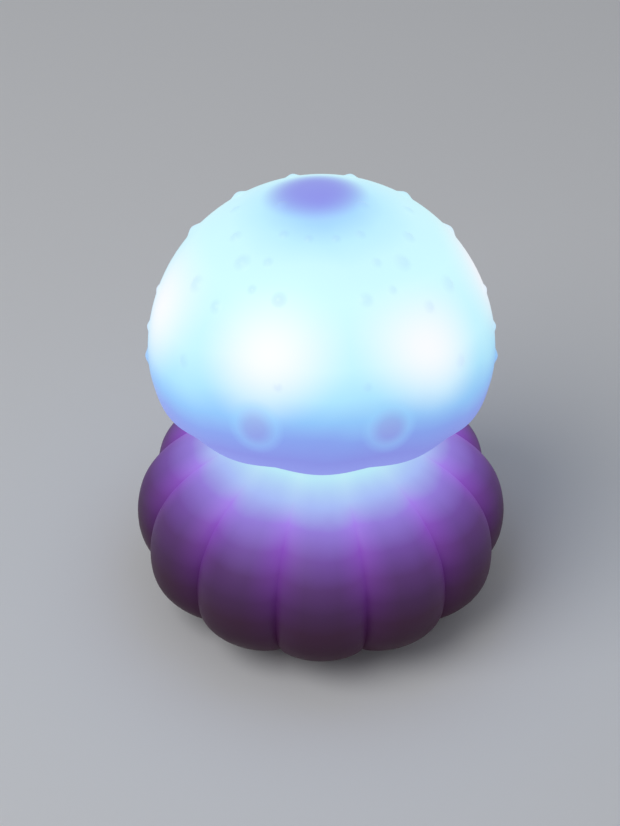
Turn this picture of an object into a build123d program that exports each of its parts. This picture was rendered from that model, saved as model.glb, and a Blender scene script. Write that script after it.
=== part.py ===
"""Floating pool light: a translucent bell over a ribbed float, lit from inside by a six-sided LED crown.

Millimetres, +Z up, origin at the centre of the flat ring that the float rests on. The front, with the two
round eye bosses, faces -Y. A funnel-shaped floor closes the bell, and its spigot is clamped in the float's
neck by a nut. Everything electrical is one core, pushed in from below and screwed to the float's bottom
opening: service plate with the battery well, ballast, driver board, push button, column and LED crown.
"""

import os
from math import cos, hypot, radians, sin, tan

from build123d import *

os.makedirs("parts", exist_ok=True)

# ---- float ----
LOBES = 12
WALL = 2.4
RING_R = 46.0  # outer radius of the flat ring the light rests on
NECK_R = 30.0
NECK_TOP = 101.0
NECK_LIP = 2.6
# height, crest radius, and groove depth as a share of that radius
FLOAT_PROFILE = (
    (0.0, RING_R, 0.010),
    (1.6, 49.6, 0.020),
    (4.0, 54.5, 0.040),
    (8.5, 64.6, 0.065),
    (15.0, 73.4, 0.085),
    (24.0, 78.7, 0.095),
    (36.0, 80.0, 0.098),
    (48.0, 78.0, 0.098),
    (56.5, 73.4, 0.095),
    (64.0, 66.2, 0.085),
    (70.0, 57.6, 0.070),
    (75.0, 47.6, 0.050),
    (79.0, 39.4, 0.030),
    (84.0, 33.6, 0.012),
    (91.0, 30.8, 0.004),
    (NECK_TOP, NECK_R, 0.004),
)

# ---- bottom opening, service plate and its screws ----
RECESS_R = 40.0
LEDGE_R = 33.0
LEDGE_Z = (4.0, 6.5)
PLATE_R = 39.6
PLATE_Z = (0.8, 3.2)
PLATE_SCREWS = 6
PLATE_SCREW_R = 36.2
SCREW_BOSS_TOP = 12.5
SHANK_R = 1.45
SLIP = 0.03  # radial room round a shank or a pressed-in piece

# ---- battery well, door and cells ----
WELL_R = 13.2
WELL_OUTER_R = 15.2
WELL_CEILING = 63.0
WELL_TOP = 67.0
HUB_R = 19.8
HUB_TOP = 10.0
DOOR_R = 17.0
DOOR_SEAT_Z = 3.05
DOOR_FLANGE_TOP = 2.2
DOOR_TURN = 60.0
PLUG_R = 12.9
PLUG_TOP = 7.5
LUG_R = 14.1
LUG_Z = (5.2, 6.8)
LUG_HALF = 14.0
CELLS = 3
CELL_R = 5.25
CELL_RING_R = 6.6
CELL_Z = (12.5, 57.0)  # 44.5 mm long, the length of an AAA cell
HOLDER_R = 12.6

# ---- driver board, push button and ballast ----
POSTS = 4
POST_RING_R = 27.0
POST_R = 2.6
BOARD_Z = (15.5, 17.1)
BOARD_R = 31.8
BUTTON_Y = 24.0
BUTTON_R = 4.4
SWITCH_BASE = 11.8
BALLAST_Z = (3.4, 11.4)

# ---- column and LED crown ----
COLUMN_R = 9.0
COLUMN_BORE = 7.4
COLUMN_TOP = 122.8
LEDS = 6
LED_TILT = 32.0  # how far up each LED points
LED_PHASE = -108.0  # direction of the first LED, round from +X
CROWN_Z = (118.0, 133.0)
CROWN_APOTHEM = 17.0  # at its foot
WIRE_R = 0.6

# ---- bell ----
BELL_Z = 123.4  # height of its widest circle
BELL_R = 70.6
BELL_WALL = 2.6
RIM_Z = 116.0
RIM_CREST_R = 72.0
SPIGOT_R = (21.2, 23.8)
BELL_FLOOR_R = 67.65  # just inside the bell, which it is glued to
EYE_AZIMUTH = 21.5
EYE_LATITUDE = 8.2
EYE_R = 7.2
EYE_MOAT_R = 10.0
EYE_MOAT_FLOOR = 1.2  # below the skin at the middle of the eye
# azimuth and latitude in degrees and radius of each bump on the +X side; the -X side mirrors them
BUMPS = (
    (91, 77, 2.6),
    (40, 71, 2.0),
    (14, 72, 1.8),
    (72, 60, 2.6),
    (36, 60, 2.0),
    (51, 56, 3.4),
    (21, 49.5, 2.7),
    (36, 50, 1.8),
    (66, 41, 3.4),
    (49, 40, 2.5),
    (53, 19, 2.6),
    (15, 23, 1.8),
    (93, 22, 2.4),
    (88, 10, 2.2),
    (85, 0, 2.8),
    (116, 35, 3.4),
    (132, 50, 3.2),
    (162, 57, 2.6),
    (104, 60, 2.2),
    (122, 13, 2.6),
    (142, 25, 3.3),
    (158, 8, 2.3),
    (168, 34, 3.2),
    (150, 41, 2.0),
)
BUMP_RISE = 0.4  # height of a bump as a share of its radius


def save(piece, name):
    """Labels a finished piece and writes it as its own STEP file."""
    piece.part.label = name
    export_step(piece.part, f"parts/{name}.step")


def on_circle(radius, degrees, z=0.0):
    """A point on a circle about the Z axis."""
    return Vector(radius * cos(radians(degrees)), radius * sin(radians(degrees)), z)


def bell_plane(azimuth, latitude, lift=0.0):
    """A plane on the bell's outer skin with its Z axis along the outward normal. Azimuth 0 is the front."""
    level = cos(radians(latitude))
    normal = Vector(level * sin(radians(azimuth)), -level * cos(radians(azimuth)), sin(radians(latitude)))
    return Plane(origin=Vector(0, 0, BELL_Z) + normal * (BELL_R + lift), z_dir=normal)


def crown_plane(index, lift=0.0):
    """A plane on the middle of one slanted face of the LED crown, X level and Z outward."""
    turn = LED_PHASE + index * 360 / LEDS
    middle = (CROWN_Z[0] + CROWN_Z[1]) / 2
    reach = CROWN_APOTHEM - (middle - CROWN_Z[0]) * tan(radians(LED_TILT))
    level = on_circle(cos(radians(LED_TILT)), turn)
    normal = Vector(level.X, level.Y, sin(radians(LED_TILT)))
    tangent = on_circle(1, turn + 90)
    return Plane(origin=on_circle(reach, turn, middle) + normal * lift, x_dir=tangent, z_dir=normal)


def lobed_outline(crest, depth):
    """Closed ring of arcs, one per lobe, meeting in grooves. One crest faces the front."""
    groove = crest * (1 - depth)
    for k in range(LOBES):
        middle = -90 + k * 360 / LOBES
        ThreePointArc(
            on_circle(groove, middle - 180 / LOBES),
            on_circle(crest, middle),
            on_circle(groove, middle + 180 / LOBES),
        )


def ring_sector(inner, outer, middle, half):
    """Outline of a piece of a flat ring, its middle so many degrees round from +X."""
    far = ThreePointArc(
        on_circle(outer, middle - half), on_circle(outer, middle), on_circle(outer, middle + half)
    )
    near = ThreePointArc(
        on_circle(inner, middle + half), on_circle(inner, middle), on_circle(inner, middle - half)
    )
    Line(far @ 1, near @ 0)
    Line(near @ 1, far @ 0)


def inner_profile():
    """The float's profile moved in by the wall, from the flat bottom to the underside of the neck's lip."""
    inner = [(WALL, RING_R, FLOAT_PROFILE[0][2])]
    for before, here, after in zip(FLOAT_PROFILE[2:], FLOAT_PROFILE[3:], FLOAT_PROFILE[4:]):
        rise = after[0] - before[0]
        spread = after[1] - before[1]
        length = hypot(rise, spread)
        inner.append((here[0] + WALL * spread / length, here[1] - WALL * rise / length, here[2]))
    inner.append((NECK_TOP - NECK_LIP, NECK_R - WALL, FLOAT_PROFILE[-1][2]))
    return inner


# ---------------------------------------------------------------- float shell
with BuildPart() as float_shell:
    for height, crest, depth in FLOAT_PROFILE:
        with BuildSketch(Plane.XY.offset(height)):
            with BuildLine():
                lobed_outline(crest, depth)
            make_face()
    loft()
    for height, crest, depth in inner_profile():
        with BuildSketch(Plane.XY.offset(height)):
            with BuildLine():
                lobed_outline(crest, depth)
            make_face()
    loft(mode=Mode.SUBTRACT)
    with Locations((0, 0, NECK_TOP)):
        Cylinder(SPIGOT_R[1] + 0.3, 3 * NECK_LIP, mode=Mode.SUBTRACT)
    Cylinder(RECESS_R, 4 * WALL, mode=Mode.SUBTRACT)
    # recess wall, then the ledge that the plate is screwed to, with a blind boss for each screw
    with BuildSketch():
        Circle(RECESS_R + WALL)
        Circle(RECESS_R, mode=Mode.SUBTRACT)
    extrude(amount=LEDGE_Z[1])
    with BuildSketch(Plane.XY.offset(LEDGE_Z[0])):
        Circle(RECESS_R + WALL)
        Circle(LEDGE_R, mode=Mode.SUBTRACT)
    extrude(amount=LEDGE_Z[1] - LEDGE_Z[0])
    with BuildSketch(Plane.XY.offset(LEDGE_Z[1])):
        with PolarLocations(PLATE_SCREW_R, PLATE_SCREWS):
            Circle(3.1)
    extrude(amount=SCREW_BOSS_TOP - LEDGE_Z[1])
    with BuildSketch(Plane.XY.offset(LEDGE_Z[0])):
        with PolarLocations(PLATE_SCREW_R, PLATE_SCREWS):
            Circle(SHANK_R + SLIP)
    extrude(amount=SCREW_BOSS_TOP - 1.0 - LEDGE_Z[0], mode=Mode.SUBTRACT)
save(float_shell, "float_shell")

# ---------------------------------------------------------------- bell
with BuildPart() as bell_skin:
    with Locations((0, 0, BELL_Z)):
        Sphere(BELL_R)
    # each bump is a cap of a small ball
    for azimuth, latitude, radius in BUMPS:
        ball = radius * (1 + BUMP_RISE**2) / (2 * BUMP_RISE)
        sink = radius * BUMP_RISE - ball
        with Locations(bell_plane(azimuth, latitude, sink), bell_plane(-azimuth, latitude, sink)):
            Sphere(ball)
    with Locations((0, 0, RIM_Z)):
        Box(3 * BELL_R, 3 * BELL_R, 2 * BELL_R, align=(Align.CENTER, Align.CENTER, Align.MAX), mode=Mode.SUBTRACT)
    # scalloped lip, one scallop over each lobe of the float
    with BuildSketch(Plane.XY.offset(RIM_Z)):
        with BuildLine():
            lobed_outline(RIM_CREST_R, 0.026)
        make_face()
    extrude(amount=2.2)
    with Locations((0, 0, BELL_Z)):
        Sphere(BELL_R - BELL_WALL, mode=Mode.SUBTRACT)
    # shallow moat round each eye boss, where the wall is thinner and shines brighter
    for side in (-1, 1):
        with BuildSketch(bell_plane(side * EYE_AZIMUTH, EYE_LATITUDE, -EYE_MOAT_FLOOR)):
            Circle(EYE_MOAT_R)
            Circle(EYE_R, mode=Mode.SUBTRACT)
        extrude(amount=3 * EYE_MOAT_FLOOR, mode=Mode.SUBTRACT)
save(bell_skin, "bell_skin")

with BuildPart() as bell_floor:
    with BuildSketch(Plane.XZ):
        Polygon(
            (SPIGOT_R[0], 88.0),
            (SPIGOT_R[1], 88.0),
            (SPIGOT_R[1], NECK_TOP + 1.2),
            (31.0, NECK_TOP + 1.2),
            (66.2, 117.4),
            (BELL_FLOOR_R, 117.4),
            (BELL_FLOOR_R, 119.4),
            (65.8, 119.4),
            (30.6, NECK_TOP + 3.4),
            (SPIGOT_R[0], NECK_TOP + 3.4),
            align=None,
        )
    revolve(axis=Axis.Z)
save(bell_floor, "bell_floor")

with BuildPart() as neck_gasket:
    with BuildSketch(Plane.XY.offset(NECK_TOP)):
        Circle(NECK_R - 0.4)
        Circle(SPIGOT_R[1] + 0.4, mode=Mode.SUBTRACT)
    extrude(amount=1.2)
save(neck_gasket, "neck_gasket")

with BuildPart() as neck_nut:
    with BuildSketch(Plane.XY.offset(91.6)):
        Circle(NECK_R - WALL - 0.8)
        Circle(SPIGOT_R[1] + SLIP, mode=Mode.SUBTRACT)
    extrude(amount=NECK_TOP - NECK_LIP - 91.6)
    # notches for a peg spanner
    with BuildSketch(Plane.XY.offset(91.6)):
        with PolarLocations(NECK_R - WALL, 6):
            Rectangle(4.0, 4.0)
    extrude(amount=2.5, mode=Mode.SUBTRACT)
save(neck_nut, "neck_nut")

# ---------------------------------------------------------------- service plate with the battery well
with BuildPart() as service_plate:
    with BuildSketch(Plane.XY.offset(PLATE_Z[0])):
        Circle(PLATE_R)
    extrude(amount=PLATE_Z[1] - PLATE_Z[0])
    with BuildSketch(Plane.XY.offset(PLATE_Z[1])):
        Circle(HUB_R)
    extrude(amount=HUB_TOP - PLATE_Z[1])
    with BuildSketch(Plane.XY.offset(HUB_TOP)):
        Circle(WELL_OUTER_R)
    extrude(amount=WELL_TOP - HUB_TOP)
    # bore, and the step that the door's flange and seal lie in
    with BuildSketch(Plane.XY.offset(PLATE_Z[0])):
        Circle(WELL_R)
    extrude(amount=WELL_CEILING - PLATE_Z[0], mode=Mode.SUBTRACT)
    with BuildSketch(Plane.XY.offset(PLATE_Z[0])):
        Circle(DOOR_R + 0.3)
    extrude(amount=DOOR_SEAT_Z - PLATE_Z[0], mode=Mode.SUBTRACT)
    # ring groove that the door's lugs turn in, and the two ways up into it
    with BuildSketch(Plane.XY.offset(LUG_Z[0] - 0.2)):
        Circle(LUG_R + 0.3)
    extrude(amount=LUG_Z[1] - LUG_Z[0] + 0.4, mode=Mode.SUBTRACT)
    for side in (0, 180):
        with BuildSketch(Plane.XY.offset(DOOR_SEAT_Z)):
            with BuildLine():
                ring_sector(WELL_R - 1, LUG_R + 0.5, side - DOOR_TURN, LUG_HALF + 2)
            make_face()
        extrude(amount=LUG_Z[0] - DOOR_SEAT_Z, mode=Mode.SUBTRACT)
    # terminal slots and column screw holes in the well's top
    with BuildSketch(Plane.XY.offset(WELL_CEILING)):
        with Locations((CELL_RING_R - 1, 0), (1 - CELL_RING_R, 0)):
            Rectangle(1.0, 3.6)
    extrude(amount=WELL_TOP - WELL_CEILING, mode=Mode.SUBTRACT)
    with BuildSketch(Plane.XY.offset(WELL_TOP)):
        with PolarLocations(11.6, 3, start_angle=30):
            Circle(1.25 + SLIP)
    extrude(amount=-3.2, mode=Mode.SUBTRACT)
    # posts for the driver board, and the button's guide
    with BuildSketch(Plane.XY.offset(PLATE_Z[1])):
        with PolarLocations(POST_RING_R, POSTS, start_angle=45):
            Circle(POST_R)
    extrude(amount=BOARD_Z[0] - PLATE_Z[1])
    with BuildSketch(Plane.XY.offset(BOARD_Z[0])):
        with PolarLocations(POST_RING_R, POSTS, start_angle=45):
            Circle(0.95 + SLIP)
    extrude(amount=-5.0, mode=Mode.SUBTRACT)
    with BuildSketch(Plane.XY.offset(PLATE_Z[1])):
        with Locations((0, BUTTON_Y)):
            Circle(8.0)
        Circle(WELL_OUTER_R, mode=Mode.SUBTRACT)
    extrude(amount=9.5 - PLATE_Z[1])
    with BuildSketch(Plane.XY.offset(PLATE_Z[0])):
        with Locations((0, BUTTON_Y)):
            Circle(BUTTON_R + 0.3)
    extrude(amount=6.0 - PLATE_Z[0], mode=Mode.SUBTRACT)
    with BuildSketch(Plane.XY.offset(6.0)):
        with Locations((0, BUTTON_Y)):
            Circle(6.2)
    extrude(amount=3.6, mode=Mode.SUBTRACT)
    # countersunk screw holes
    for k in range(PLATE_SCREWS):
        with BuildSketch(Plane.XY.offset(PLATE_Z[0])):
            with Locations(on_circle(PLATE_SCREW_R, k * 360 / PLATE_SCREWS)):
                Circle(2.8)
        extrude(amount=1.5, taper=41, mode=Mode.SUBTRACT)
        with BuildSketch(Plane.XY.offset(PLATE_Z[0])):
            with Locations(on_circle(PLATE_SCREW_R, k * 360 / PLATE_SCREWS)):
                Circle(SHANK_R + SLIP)
        extrude(amount=PLATE_Z[1] - PLATE_Z[0], mode=Mode.SUBTRACT)
save(service_plate, "service_plate")

with BuildPart() as plate_gasket:
    with BuildSketch(Plane.XY.offset(PLATE_Z[1])):
        Circle(PLATE_R - 0.4)
        Circle(LEDGE_R + 0.4, mode=Mode.SUBTRACT)
        with PolarLocations(PLATE_SCREW_R, PLATE_SCREWS):
            Circle(SHANK_R + 0.2, mode=Mode.SUBTRACT)
    extrude(amount=LEDGE_Z[0] - PLATE_Z[1])
save(plate_gasket, "plate_gasket")

with BuildPart() as plate_screws:
    for k in range(PLATE_SCREWS):
        with BuildSketch(Plane.XY.offset(PLATE_Z[0])):
            with Locations(on_circle(PLATE_SCREW_R, k * 360 / PLATE_SCREWS)):
                Circle(2.75)
        extrude(amount=1.45, taper=41)
        with BuildSketch(Plane.XY.offset(PLATE_Z[0])):
            with Locations(on_circle(PLATE_SCREW_R, k * 360 / PLATE_SCREWS)):
                Circle(SHANK_R)
        extrude(amount=10.0)
        # cross recess
        with BuildSketch(Plane.XY.offset(PLATE_Z[0])):
            with Locations(on_circle(PLATE_SCREW_R, k * 360 / PLATE_SCREWS)):
                Rectangle(3.0, 0.7)
                Rectangle(0.7, 3.0)
        extrude(amount=1.1, mode=Mode.SUBTRACT)
save(plate_screws, "plate_screws")

# ---------------------------------------------------------------- battery door and cell pack
with BuildPart() as battery_door:
    with BuildSketch(Plane.XY.offset(PLATE_Z[0])):
        Circle(DOOR_R)
    extrude(amount=DOOR_FLANGE_TOP - PLATE_Z[0])
    with BuildSketch(Plane.XY.offset(DOOR_FLANGE_TOP)):
        Circle(PLUG_R)
    extrude(amount=PLUG_TOP - DOOR_FLANGE_TOP)
    for side in (0, 180):
        with BuildSketch(Plane.XY.offset(LUG_Z[0])):
            with BuildLine():
                ring_sector(PLUG_R - 1, LUG_R, side, LUG_HALF)
            make_face()
        extrude(amount=LUG_Z[1] - LUG_Z[0])
    # coin slot
    with BuildSketch(Plane.XY.offset(PLATE_Z[0])):
        SlotOverall(22.0, 2.2)
    extrude(amount=2.0, mode=Mode.SUBTRACT)
save(battery_door, "battery_door")

with BuildPart() as door_seal:
    with BuildSketch(Plane.XY.offset(DOOR_FLANGE_TOP)):
        Circle(DOOR_R - 0.2)
        Circle(LUG_R + 0.7, mode=Mode.SUBTRACT)
    extrude(amount=DOOR_SEAT_Z - DOOR_FLANGE_TOP)
save(door_seal, "door_seal")

with BuildPart() as cell_holder:
    for low, high in ((PLUG_TOP + 0.1, 9.2), (57.3, 58.9)):
        with BuildSketch(Plane.XY.offset(low)):
            Circle(HOLDER_R)
        extrude(amount=high - low)
    with BuildSketch(Plane.XY.offset(9.2)):
        with PolarLocations(10.2, CELLS, start_angle=60):
            Circle(2.2)
    extrude(amount=57.3 - 9.2)
save(cell_holder, "cell_holder")

with BuildPart() as cells:
    for k in range(CELLS):
        spot = on_circle(CELL_RING_R, k * 360 / CELLS)
        # every second cell stands on its head
        body_from, tip_from = (CELL_Z[0] + 1, CELL_Z[0]) if k % 2 else (CELL_Z[0], CELL_Z[1] - 1)
        with BuildSketch(Plane.XY.offset(body_from)):
            with Locations(spot):
                Circle(CELL_R)
        extrude(amount=CELL_Z[1] - CELL_Z[0] - 1)
        with BuildSketch(Plane.XY.offset(tip_from)):
            with Locations(spot):
                Circle(1.9)
        extrude(amount=1.0)
save(cells, "cells")

with BuildPart() as cell_contacts:
    for low in (9.2, CELL_Z[1]):
        with BuildSketch(Plane.XY.offset(low)):
            with PolarLocations(CELL_RING_R, CELLS):
                Circle(3.8)
        extrude(amount=0.3)
save(cell_contacts, "cell_contacts")

with BuildPart() as cell_springs:
    for k in range(CELLS):
        spot = on_circle(CELL_RING_R, k * 360 / CELLS, 9.8)
        with BuildLine() as coil:
            Helix(pitch=0.8, height=2.4, radius=3.0, center=spot)
        with BuildSketch(Plane(origin=coil.line @ 0, z_dir=coil.line % 0)):
            Circle(0.28)
        sweep(path=coil.line, is_frenet=True)
save(cell_springs, "cell_springs")

with BuildPart() as pack_terminals:
    with BuildSketch(Plane.XY.offset(58.9)):
        Circle(2.2)
        Circle(6.8)
        Circle(5.0, mode=Mode.SUBTRACT)
        Circle(2.2)
    extrude(amount=0.6)
save(pack_terminals, "pack_terminals")

with BuildPart() as well_contacts:
    for side, touch in ((1, 0.8), (-1, 5.9)):
        with BuildSketch(Plane.XZ):
            with BuildLine():
                Polyline(
                    (side * (CELL_RING_R - 1), 69.5),
                    (side * (CELL_RING_R - 1), 62.7),
                    (side * 9.5, 62.4),
                    (side * touch, 59.7),
                )
            trace(line_width=0.35)
        extrude(amount=1.5, both=True)
save(well_contacts, "well_contacts")

# ---------------------------------------------------------------- ballast and driver board
with BuildPart() as ballast:
    with BuildSketch(Plane.XY.offset(BALLAST_Z[0])):
        Circle(LEDGE_R - 1.2)
        Circle(HUB_R + 0.5, mode=Mode.SUBTRACT)
        with Locations((0, BUTTON_Y)):
            Rectangle(17.0, 24.0, mode=Mode.SUBTRACT)
        with PolarLocations(POST_RING_R, POSTS, start_angle=45):
            Circle(POST_R + 0.3, mode=Mode.SUBTRACT)
    extrude(amount=BALLAST_Z[1] - BALLAST_Z[0])
    chamfer(ballast.faces().sort_by(Axis.Z)[-1].outer_wire().edges(), 0.6)
save(ballast, "ballast")

with BuildPart() as driver_board:
    with BuildSketch(Plane.XY.offset(BOARD_Z[0])):
        Circle(BOARD_R)
        Circle(WELL_OUTER_R + 0.4, mode=Mode.SUBTRACT)
        with PolarLocations(POST_RING_R, POSTS, start_angle=45):
            Circle(1.15, mode=Mode.SUBTRACT)
    extrude(amount=BOARD_Z[1] - BOARD_Z[0])
save(driver_board, "driver_board")

with BuildPart() as board_screws:
    with BuildSketch(Plane.XY.offset(BOARD_Z[0] - 4.0)):
        with PolarLocations(POST_RING_R, POSTS, start_angle=45):
            Circle(0.95)
    extrude(amount=4.0 + BOARD_Z[1] - BOARD_Z[0])
    with BuildSketch(Plane.XY.offset(BOARD_Z[1])):
        with PolarLocations(POST_RING_R, POSTS, start_angle=45):
            Circle(2.0)
    extrude(amount=1.3)
save(board_screws, "board_screws")

with BuildPart() as control_chips:
    with BuildSketch(Plane.XY.offset(BOARD_Z[1])):
        with Locations((-11, -20), (11, -20)):
            Rectangle(9.0, 6.0)
        with Locations((0, -25)):
            Rectangle(5.0, 4.0)
        with PolarLocations(27.5, 5, start_angle=70, angular_range=30):
            Rectangle(1.6, 0.8)
    extrude(amount=1.5)
save(control_chips, "control_chips")

with BuildPart() as inductor:
    with Locations((-23.5, 0, BOARD_Z[1] + 2.5)):
        Cylinder(5.5, 5.0)
    with Locations((-23.5, 0, BOARD_Z[1] + 2.5)):
        Cylinder(5.5, 3.0, mode=Mode.SUBTRACT)
        Cylinder(4.6, 3.0)
save(inductor, "inductor")

with BuildPart() as capacitor:
    with Locations((23.5, 0, BOARD_Z[1] + 4.5)):
        Cylinder(4.0, 9.0)
    fillet(capacitor.edges().group_by(Axis.Z)[-1], 0.5)
save(capacitor, "capacitor")

# ---------------------------------------------------------------- push button and switch
with BuildPart() as push_button:
    with BuildSketch(Plane.XZ.offset(-BUTTON_Y)):
        Polygon(
            (0, 1.0),
            (BUTTON_R, 1.0),
            (BUTTON_R, 3.3),
            (BUTTON_R - 0.9, 3.3),
            (BUTTON_R - 0.9, 4.7),
            (BUTTON_R, 4.7),
            (BUTTON_R, 6.3),
            (5.9, 6.3),
            (5.9, 7.3),
            (1.6, 7.3),
            (1.6, 9.9),
            (0, 9.9),
            align=None,
        )
    revolve(axis=Axis((0, BUTTON_Y, 0), (0, 0, 1)))
save(push_button, "push_button")

with BuildPart() as button_ring:
    with Locations((0, BUTTON_Y, 4.0)):
        Torus(BUTTON_R - 0.32, 0.57)
save(button_ring, "button_ring")

with BuildPart() as button_spring:
    with BuildLine() as coil:
        Helix(pitch=1.0, height=4.0, radius=2.8, center=(0, BUTTON_Y, 7.55))
    with BuildSketch(Plane(origin=coil.line @ 0, z_dir=coil.line % 0)):
        Circle(0.25)
    sweep(path=coil.line, is_frenet=True)
save(button_spring, "button_spring")

with BuildPart() as switch_body:
    with BuildSketch(Plane.XY.offset(SWITCH_BASE)):
        with Locations((0, BUTTON_Y)):
            Rectangle(7.0, 7.0)
    extrude(amount=BOARD_Z[0] - SWITCH_BASE)
    with BuildSketch(Plane.XY.offset(SWITCH_BASE)):
        with Locations((0, BUTTON_Y)):
            Circle(1.75)
    extrude(amount=3.4, mode=Mode.SUBTRACT)
save(switch_body, "switch_body")

with BuildPart() as switch_plunger:
    with Locations((0, BUTTON_Y, 11.6)):
        Cylinder(1.65, 3.4)
save(switch_plunger, "switch_plunger")

# ---------------------------------------------------------------- column and LED crown
with BuildPart() as column:
    with BuildSketch(Plane.XY.offset(WELL_TOP)):
        Circle(14.0)
        with PolarLocations(11.6, 3, start_angle=30):
            Circle(1.45, mode=Mode.SUBTRACT)
    extrude(amount=2.4)
    with BuildSketch(Plane.XY.offset(WELL_TOP)):
        Circle(COLUMN_R)
    extrude(amount=COLUMN_TOP - WELL_TOP)
    with BuildSketch(Plane.XY.offset(WELL_TOP)):
        Circle(COLUMN_BORE)
    extrude(amount=COLUMN_TOP - WELL_TOP, mode=Mode.SUBTRACT)
    # wire windows front and back
    with Locations((0, 0, 76.0)):
        Box(7.0, 4 * COLUMN_R, 7.0, mode=Mode.SUBTRACT)
save(column, "column")

with BuildPart() as column_screws:
    with BuildSketch(Plane.XY.offset(WELL_TOP - 3.0)):
        with PolarLocations(11.6, 3, start_angle=30):
            Circle(1.25)
    extrude(amount=3.0 + 2.4)
    with BuildSketch(Plane.XY.offset(WELL_TOP + 2.4)):
        with PolarLocations(11.6, 3, start_angle=30):
            Circle(2.2)
    extrude(amount=1.6)
save(column_screws, "column_screws")

with BuildPart() as led_carrier:
    with BuildSketch(Plane.XY.offset(CROWN_Z[0])):
        RegularPolygon(CROWN_APOTHEM, LEDS, major_radius=False, rotation=LED_PHASE - 30)
    extrude(amount=CROWN_Z[1] - CROWN_Z[0], taper=LED_TILT)
    with BuildSketch(Plane.XY.offset(CROWN_Z[0])):
        Circle(COLUMN_R + SLIP)
    extrude(amount=COLUMN_TOP + 0.2 - CROWN_Z[0], mode=Mode.SUBTRACT)
    with BuildSketch(Plane.XY.offset(COLUMN_TOP)):
        Circle(7.0)
    extrude(amount=127.0 - COLUMN_TOP, mode=Mode.SUBTRACT)
    with BuildSketch(Plane.XY.offset(CROWN_Z[1])):
        Circle(1.5 + SLIP)
    extrude(amount=-5.5, mode=Mode.SUBTRACT)
    # ways for the feed pins
    for k in range(LEDS):
        with BuildSketch(Plane(origin=(0, 0, 124.6), z_dir=on_circle(1, LED_PHASE + k * 360 / LEDS))):
            Circle(0.8)
        extrude(amount=20.0, mode=Mode.SUBTRACT)
save(led_carrier, "led_carrier")

with BuildPart() as led_boards:
    for k in range(LEDS):
        with BuildSketch(crown_plane(k)):
            Rectangle(9.0, 16.0)
        extrude(amount=1.0)
save(led_boards, "led_boards")

with BuildPart() as leds:
    for k in range(LEDS):
        with BuildSketch(crown_plane(k, 1.0)):
            Rectangle(5.0, 5.0)
        extrude(amount=1.2)
        with BuildSketch(crown_plane(k, 2.2)):
            Circle(1.9)
        extrude(amount=0.9, taper=25)
save(leds, "leds")

with BuildPart() as junction_board:
    with BuildSketch(Plane.XY.offset(124.0)):
        Circle(6.8)
    extrude(amount=1.2)
save(junction_board, "junction_board")

with BuildPart() as feed_pins:
    for k in range(LEDS):
        turn = LED_PHASE + k * 360 / LEDS
        with BuildSketch(Plane(origin=on_circle(6.8, turn, 124.6), z_dir=on_circle(1, turn))):
            Circle(0.45)
        extrude(amount=CROWN_APOTHEM - 6.6 * tan(radians(LED_TILT)) - 6.8 - 0.3)
save(feed_pins, "feed_pins")

with BuildPart() as crown_cap:
    with BuildSketch(Plane.XY.offset(CROWN_Z[1])):
        Circle(15.0)
        Circle(1.7, mode=Mode.SUBTRACT)
    extrude(amount=2.2)
    fillet(crown_cap.faces().sort_by(Axis.Z)[-1].outer_wire().edges(), 0.9)
save(crown_cap, "crown_cap")

with BuildPart() as crown_screw:
    with BuildSketch(Plane.XY.offset(CROWN_Z[1] - 5.0)):
        Circle(1.5)
    extrude(amount=5.0 + 2.2)
    with BuildSketch(Plane.XY.offset(CROWN_Z[1] + 2.2)):
        Circle(2.8)
    extrude(amount=2.0)
save(crown_screw, "crown_screw")

# ---------------------------------------------------------------- wires
with BuildPart() as battery_leads:
    for side in (-1, 1):
        with BuildLine() as run:
            FilletPolyline(
                (side * (CELL_RING_R - 1), 0.8, 69.5),
                (side * (CELL_RING_R - 1), 0.8, 73.0),
                (side * 1.8, 5.5, 76.0),
                (side * 1.8, 16.6, 76.0),
                (side * 1.8, 16.6, BOARD_Z[1]),
                radius=1.2,
            )
        with BuildSketch(Plane(origin=run.line @ 0, z_dir=run.line % 0)):
            Circle(WIRE_R)
        sweep(path=run.line)
save(battery_leads, "battery_leads")

with BuildPart() as crown_leads:
    for side in (-1, 1):
        with BuildLine() as run:
            FilletPolyline(
                (side * 1.8, -16.6, BOARD_Z[1]),
                (side * 1.8, -16.6, 76.0),
                (side * 1.8, -4.0, 76.0),
                (side * 1.8, -4.0, 124.0),
                radius=1.8,
            )
        with BuildSketch(Plane(origin=run.line @ 0, z_dir=run.line % 0)):
            Circle(WIRE_R)
        sweep(path=run.line)
save(crown_leads, "crown_leads")
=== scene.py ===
from math import atan2, cos, hypot, pi, radians, sin

import bpy
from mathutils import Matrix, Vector


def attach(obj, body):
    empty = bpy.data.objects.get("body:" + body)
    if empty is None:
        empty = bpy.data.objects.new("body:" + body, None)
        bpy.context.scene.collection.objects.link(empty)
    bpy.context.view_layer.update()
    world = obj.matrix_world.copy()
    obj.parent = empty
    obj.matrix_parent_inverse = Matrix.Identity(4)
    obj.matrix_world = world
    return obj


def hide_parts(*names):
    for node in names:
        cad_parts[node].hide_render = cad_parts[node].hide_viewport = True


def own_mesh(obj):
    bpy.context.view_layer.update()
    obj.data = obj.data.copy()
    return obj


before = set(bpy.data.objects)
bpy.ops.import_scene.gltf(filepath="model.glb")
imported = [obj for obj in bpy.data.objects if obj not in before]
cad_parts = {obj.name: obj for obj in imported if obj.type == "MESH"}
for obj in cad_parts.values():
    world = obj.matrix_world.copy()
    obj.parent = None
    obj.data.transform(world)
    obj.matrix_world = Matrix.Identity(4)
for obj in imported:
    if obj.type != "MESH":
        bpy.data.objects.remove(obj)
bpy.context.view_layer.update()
bpy.ops.object.select_all(action="DESELECT")

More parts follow.
